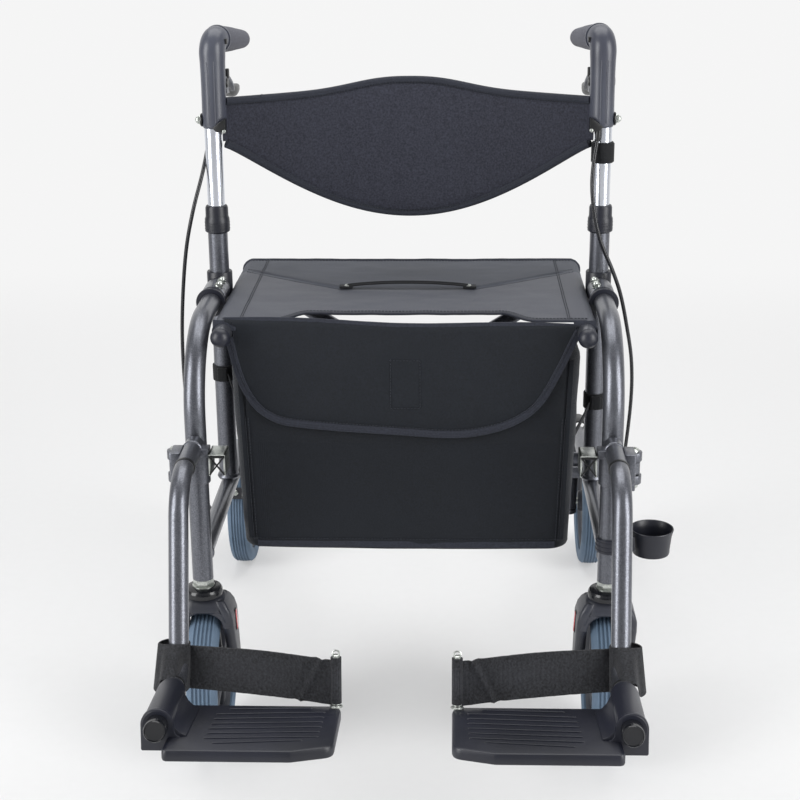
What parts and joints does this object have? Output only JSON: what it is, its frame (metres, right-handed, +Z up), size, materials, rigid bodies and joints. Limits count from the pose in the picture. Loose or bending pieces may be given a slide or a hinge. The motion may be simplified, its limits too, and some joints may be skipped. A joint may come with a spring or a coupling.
{
  "type": "four-wheel walker",
  "caption": "Folding rollator with a sling seat, backrest band, storage bag, height-adjustable handles, loop brakes and swing-away foot plates.",
  "frame": {"origin": "on the floor under the middle of the length, from the front edge of the foot plates to the back of the rear tyres, and midway between the side frames", "axes": "+Z up from the floor, +Y from the foot plates towards the rear wheels, +X to the side with the cane cup"},
  "size_m": [0.6434, 1.1131, 0.8818],
  "materials": {
    "frame_paint": "gunmetal grey metallic enamel with a fine flake on aluminium tube",
    "bright_tube": "bright anodised tube",
    "zinc_steel": "zinc-plated steel",
    "charcoal_plastic": "moulded charcoal plastic, fine grain",
    "fork_plastic": "moulded charcoal nylon",
    "wheel_plastic": "moulded dark grey plastic",
    "tyre_grey": "blue-grey solid tyre with grooves",
    "grip_rubber": "soft dark rubber",
    "brake_rubber": "dark grey brake block and arm",
    "webbing": "ribbed black webbing",
    "seat_fabric": "padded charcoal textile with bound edges",
    "bag_fabric": "charcoal woven nylon",
    "cable_jacket": "black cable housing"
  },
  "bodies": {
    "left_frame": {"left_front_leg": "frame_paint", "left_upright": "frame_paint", "left_lower_rail": "frame_paint", "left_collar": "charcoal_plastic", "left_saddle_clamp": "charcoal_plastic", "left_pivot_bracket": "frame_paint", "left_caster_stem": "zinc_steel", "left_brake_bracket": "zinc_steel", "left_brake_cable": "cable_jacket"},
    "right_frame": {"right_front_leg": "frame_paint", "right_upright": "frame_paint", "right_lower_rail": "frame_paint", "right_collar": "charcoal_plastic", "right_saddle_clamp": "charcoal_plastic", "right_pivot_bracket": "frame_paint", "right_caster_stem": "zinc_steel", "right_brake_bracket": "zinc_steel", "right_brake_cable": "cable_jacket", "cane_cup": "charcoal_plastic"},
    "brace_a": {"brace_a": "frame_paint", "right_seat_rail": "frame_paint", "right_ball_cap": "charcoal_plastic"},
    "brace_b": {"brace_b": "frame_paint", "left_seat_rail": "frame_paint", "left_ball_cap": "charcoal_plastic"},
    "seat": {"seat_sling": "seat_fabric", "seat_lift_strap": "webbing", "storage_bag": "bag_fabric"},
    "left_handle": {"left_handle_tube": "bright_tube", "left_handle_housing": "charcoal_plastic", "left_grip": "grip_rubber", "backrest_band": "seat_fabric"},
    "left_lever": {"left_brake_lever": "charcoal_plastic"},
    "left_brake": {"left_brake_shoe": "brake_rubber"},
    "left_rear_wheel": {"left_rear_rim": "wheel_plastic", "left_rear_tyre": "tyre_grey"},
    "left_fork": {"left_caster_fork": "fork_plastic"},
    "left_front_wheel": {"left_front_rim": "wheel_plastic", "left_front_tyre": "tyre_grey"},
    "left_foot_rest": {"left_hanger": "frame_paint", "left_heel_strap": "webbing"},
    "left_catch": {"left_hanger_catch": "zinc_steel"},
    "left_plate": {"left_foot_plate": "charcoal_plastic", "left_heel_pin": "zinc_steel"},
    "right_handle": {"right_handle_tube": "bright_tube", "right_handle_housing": "charcoal_plastic", "right_grip": "grip_rubber", "cane_strap": "webbing"},
    "right_lever": {"right_brake_lever": "charcoal_plastic"},
    "right_brake": {"right_brake_shoe": "brake_rubber"},
    "right_rear_wheel": {"right_rear_rim": "wheel_plastic", "right_rear_tyre": "tyre_grey"},
    "right_fork": {"right_caster_fork": "fork_plastic"},
    "right_front_wheel": {"right_front_rim": "wheel_plastic", "right_front_tyre": "tyre_grey"},
    "right_foot_rest": {"right_hanger": "frame_paint", "right_heel_strap": "webbing"},
    "right_catch": {"right_hanger_catch": "zinc_steel"},
    "right_plate": {"right_foot_plate": "charcoal_plastic", "right_heel_pin": "zinc_steel"}
  },
  "joints": [
    {"name": "fold", "type": "hinge", "parent": "left_frame", "child": "brace_a", "pos_m": [-0.2175, 0.1525, 0.272], "axis": [0, -1, 0], "range_deg": [0, 42], "deforming": ["seat_sling", "seat_lift_strap", "storage_bag", "backrest_band"]},
    {"name": "brace_cross", "type": "hinge", "parent": "brace_a", "child": "brace_b", "pos_m": [0, 0.1675, 0.4065], "axis": [0, -1, 0], "range_deg": [-84, 0]},
    {"name": "right_side_level", "type": "hinge", "parent": "brace_b", "child": "right_frame", "pos_m": [0.2175, 0.1825, 0.272], "axis": [0, -1, 0], "range_deg": [0, 42]},
    {"name": "seat_level", "type": "hinge", "parent": "brace_b", "child": "seat", "pos_m": [-0.2175, 0.1475, 0.541], "axis": [0, -1, 0], "range_deg": [0, 42]},
    {"name": "left_handle_height", "type": "slide", "parent": "left_frame", "child": "left_handle", "axis": [0, 0, 1], "range_m": [-0.025, 0.05], "deforming": ["left_brake_cable"]},
    {"name": "left_lever_squeeze", "type": "hinge", "parent": "left_handle", "child": "left_lever", "pos_m": [-0.247, 0.1035, 0.812], "axis": [1, 0, 0], "range_deg": [0, 12], "stiffness_Nm_per_rad": 0.5},
    {"name": "left_brake_press", "type": "hinge", "parent": "left_frame", "child": "left_brake", "pos_m": [-0.262, 0.3325, 0.215], "axis": [1, 0, 0], "range_deg": [0, 4.2]},
    {"name": "left_rear_wheel_spin", "type": "hinge", "parent": "left_frame", "child": "left_rear_wheel", "pos_m": [-0.2775, 0.4565, 0.1], "axis": [1, 0, 0], "continuous": true},
    {"name": "left_caster_swivel", "type": "hinge", "parent": "left_frame", "child": "left_fork", "pos_m": [-0.247, -0.1525, 0.222], "axis": [0, 0, 1], "continuous": true},
    {"name": "left_front_wheel_spin", "type": "hinge", "parent": "left_fork", "child": "left_front_wheel", "pos_m": [-0.247, -0.1175, 0.1], "axis": [1, 0, 0], "continuous": true},
    {"name": "left_foot_rest_swing", "type": "hinge", "parent": "left_frame", "child": "left_foot_rest", "pos_m": [-0.272, -0.1525, 0.392], "axis": [0, 0, -1], "range_deg": [0, 90]},
    {"name": "left_catch_release", "type": "hinge", "parent": "left_foot_rest", "child": "left_catch", "pos_m": [-0.2252, -0.1705, 0.424], "axis": [0, -1, 0], "range_deg": [0, 15], "stiffness_Nm_per_rad": 0.3},
    {"name": "left_plate_flip", "type": "hinge", "parent": "left_foot_rest", "child": "left_plate", "pos_m": [-0.2455, -0.36449, 0.225], "axis": [0, -0.9848, 0.1736], "range_deg": [0, 90], "deforming": ["left_heel_strap"]},
    {"name": "right_handle_height", "type": "slide", "parent": "right_frame", "child": "right_handle", "axis": [0, 0, 1], "range_m": [-0.025, 0.05], "deforming": ["right_brake_cable"]},
    {"name": "right_lever_squeeze", "type": "hinge", "parent": "right_handle", "child": "right_lever", "pos_m": [0.247, 0.1035, 0.812], "axis": [1, 0, 0], "range_deg": [0, 12], "stiffness_Nm_per_rad": 0.5},
    {"name": "right_brake_press", "type": "hinge", "parent": "right_frame", "child": "right_brake", "pos_m": [0.262, 0.3325, 0.215], "axis": [1, 0, 0], "range_deg": [0, 4.2]},
    {"name": "right_rear_wheel_spin", "type": "hinge", "parent": "right_frame", "child": "right_rear_wheel", "pos_m": [0.2775, 0.4565, 0.1], "axis": [1, 0, 0], "continuous": true},
    {"name": "right_caster_swivel", "type": "hinge", "parent": "right_frame", "child": "right_fork", "pos_m": [0.247, -0.1525, 0.222], "axis": [0, 0, 1], "continuous": true},
    {"name": "right_front_wheel_spin", "type": "hinge", "parent": "right_fork", "child": "right_front_wheel", "pos_m": [0.247, -0.1175, 0.1], "axis": [1, 0, 0], "continuous": true},
    {"name": "right_foot_rest_swing", "type": "hinge", "parent": "right_frame", "child": "right_foot_rest", "pos_m": [0.272, -0.1525, 0.392], "axis": [0, 0, 1], "range_deg": [0, 90]},
    {"name": "right_catch_release", "type": "hinge", "parent": "right_foot_rest", "child": "right_catch", "pos_m": [0.2252, -0.1705, 0.424], "axis": [0, 1, 0], "range_deg": [0, 15], "stiffness_Nm_per_rad": 0.3},
    {"name": "right_plate_flip", "type": "hinge", "parent": "right_foot_rest", "child": "right_plate", "pos_m": [0.2455, -0.36449, 0.225], "axis": [0, 0.9848, -0.1736], "range_deg": [0, 90], "deforming": ["right_heel_strap"]}
  ],
  "couplings": [
    {"joint": "brace_cross", "follows": "fold", "ratio": -2},
    {"joint": "right_side_level", "follows": "fold", "ratio": 1},
    {"joint": "seat_level", "follows": "fold", "ratio": 1},
    {"joint": "left_plate_flip", "follows": "fold", "ratio": 2.14},
    {"joint": "right_plate_flip", "follows": "fold", "ratio": 2.14},
    {"joint": "right_handle_height", "follows": "left_handle_height", "ratio": 1},
    {"joint": "left_brake_press", "follows": "left_lever_squeeze", "ratio": 0.33},
    {"joint": "right_brake_press", "follows": "right_lever_squeeze", "ratio": 0.33}
  ]
}
